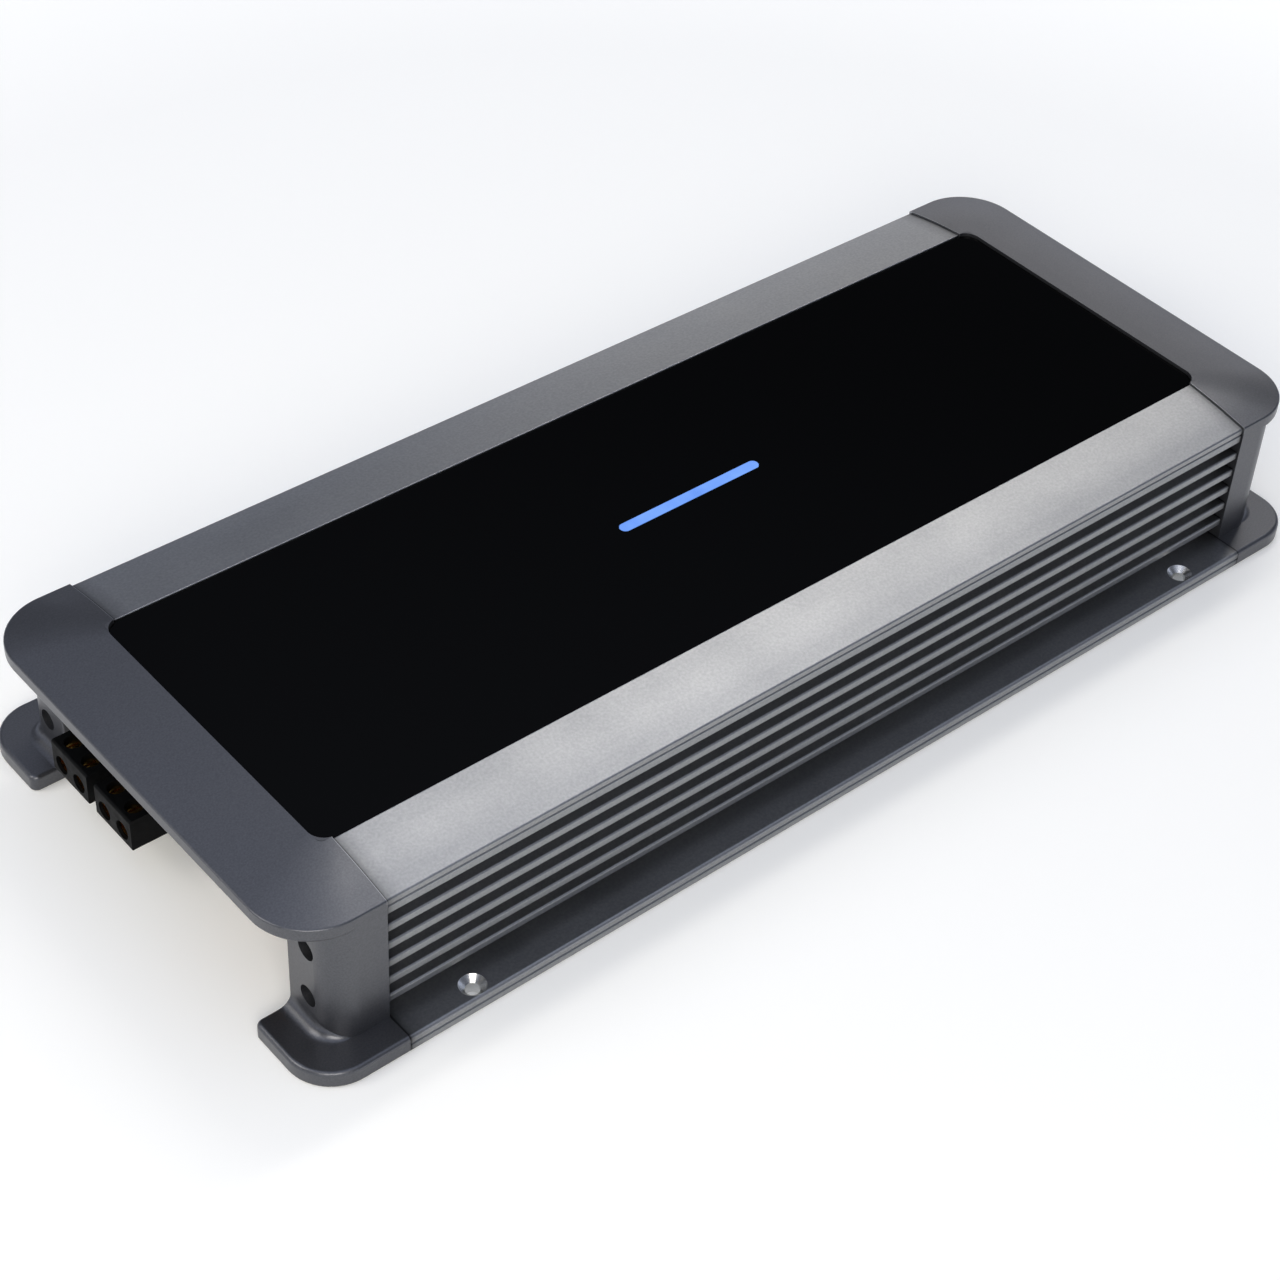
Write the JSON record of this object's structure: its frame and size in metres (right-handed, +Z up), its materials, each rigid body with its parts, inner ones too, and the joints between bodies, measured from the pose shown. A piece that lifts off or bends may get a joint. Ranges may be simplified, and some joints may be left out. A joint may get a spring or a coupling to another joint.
{
  "type": "car audio amplifier",
  "caption": "Car audio amplifier with a finned aluminium body, cast end caps, a black glass top, wire terminals and fuses at one end and signal sockets at the other.",
  "frame": {"origin": "centre of the base, on the surface that the flanges stand on", "axes": "+X along the length towards the signal sockets, -X towards the wire terminals, -Y towards the front, +Z up"},
  "size_m": [0.435, 0.1912, 0.06],
  "materials": {
    "anodised_aluminium": "satin",
    "cap_paint": "satin",
    "glass_black": "gloss",
    "lens_blue": "gloss",
    "black_steel": "satin",
    "screw_steel": "satin",
    "black_screw": "satin",
    "black_plastic": "matt",
    "brass": "polished",
    "nickel": "polished",
    "fuse_amber": "gloss",
    "board_green": "satin",
    "pad_grey": "matt",
    "epoxy_black": "matt",
    "copper_enamel": "gloss",
    "capacitor_sleeve": "gloss",
    "film_red": "gloss"
  },
  "bodies": {
    "root": {"heatsink_extrusion": "anodised_aluminium", "end_cap_left": "cap_paint", "end_cap_right": "cap_paint", "cap_screws": "black_screw", "glass_top_panel": "glass_black", "light_bar_lens": "lens_blue", "light_bar_board": "board_green", "bottom_plate": "black_steel", "bottom_plate_screws": "screw_steel", "terminal_panel": "black_steel", "signal_panel": "black_steel", "terminal_block_power": "black_plastic", "terminal_block_speaker": "black_plastic", "terminal_clamps": "brass", "fuse_holder": "black_plastic", "rca_block": "black_plastic", "rca_sleeves": "nickel", "level_pots": "epoxy_black", "phase_switch_body": "epoxy_black", "remote_socket": "black_plastic", "remote_pins": "nickel", "status_led": "lens_blue", "main_board": "board_green", "board_standoffs": "nickel", "board_screws": "screw_steel", "thermal_pad_front": "pad_grey", "thermal_pad_back": "pad_grey", "transistors_front": "epoxy_black", "transistors_back": "epoxy_black", "clamp_bar_front": "screw_steel", "clamp_bar_back": "screw_steel", "clamp_screws": "screw_steel", "transformer_base": "epoxy_black", "transformer_winding": "copper_enamel", "output_choke": "copper_enamel", "supply_capacitors": "capacitor_sleeve", "film_capacitors": "film_red", "driver_header": "epoxy_black", "driver_board": "board_green"},
    "set_screw_power_plus": {"set_screw_power_plus": "brass"},
    "set_screw_power_ground": {"set_screw_power_ground": "brass"},
    "set_screw_speaker_plus": {"set_screw_speaker_plus": "brass"},
    "set_screw_speaker_minus": {"set_screw_speaker_minus": "brass"},
    "knob_level": {"knob_level": "black_plastic"},
    "knob_filter": {"knob_filter": "black_plastic"},
    "knob_bass": {"knob_bass": "black_plastic"},
    "phase_switch_lever": {"phase_switch_lever": "black_plastic"},
    "fuse_front": {"fuse_front": "fuse_amber"},
    "fuse_back": {"fuse_back": "fuse_amber"}
  },
  "joints": [
    {"name": "set_screw_power_plus_turn", "type": "hinge", "parent": "root", "child": "set_screw_power_plus", "pos_m": [-0.2085, 0.0491, 0.025], "axis": [0, 0, 1], "range_deg": [0, 1080]},
    {"name": "set_screw_power_ground_turn", "type": "hinge", "parent": "root", "child": "set_screw_power_ground", "pos_m": [-0.2085, 0.0389, 0.025], "axis": [0, 0, 1], "range_deg": [0, 1080]},
    {"name": "set_screw_speaker_plus_turn", "type": "hinge", "parent": "root", "child": "set_screw_speaker_plus", "pos_m": [-0.2085, 0.0241, 0.025], "axis": [0, 0, 1], "range_deg": [0, 1080]},
    {"name": "set_screw_speaker_minus_turn", "type": "hinge", "parent": "root", "child": "set_screw_speaker_minus", "pos_m": [-0.2085, 0.0139, 0.025], "axis": [0, 0, 1], "range_deg": [0, 1080]},
    {"name": "knob_level_turn", "type": "hinge", "parent": "root", "child": "knob_level", "pos_m": [0.185, 0.006, 0.0243], "axis": [1, 0, 0], "range_deg": [-150, 150]},
    {"name": "knob_filter_turn", "type": "hinge", "parent": "root", "child": "knob_filter", "pos_m": [0.185, 0.021, 0.0243], "axis": [1, 0, 0], "range_deg": [-150, 150]},
    {"name": "knob_bass_turn", "type": "hinge", "parent": "root", "child": "knob_bass", "pos_m": [0.185, 0.036, 0.0243], "axis": [1, 0, 0], "range_deg": [-150, 150]},
    {"name": "phase_switch_slide", "type": "slide", "parent": "root", "child": "phase_switch_lever", "axis": [0, 1, 0], "range_m": [-0.002, 0.002]},
    {"name": "fuse_front_pull", "type": "slide", "parent": "root", "child": "fuse_front", "axis": [-1, 0, 0], "range_m": [0, 0.012]},
    {"name": "fuse_back_pull", "type": "slide", "parent": "root", "child": "fuse_back", "axis": [-1, 0, 0], "range_m": [0, 0.012]}
  ]
}
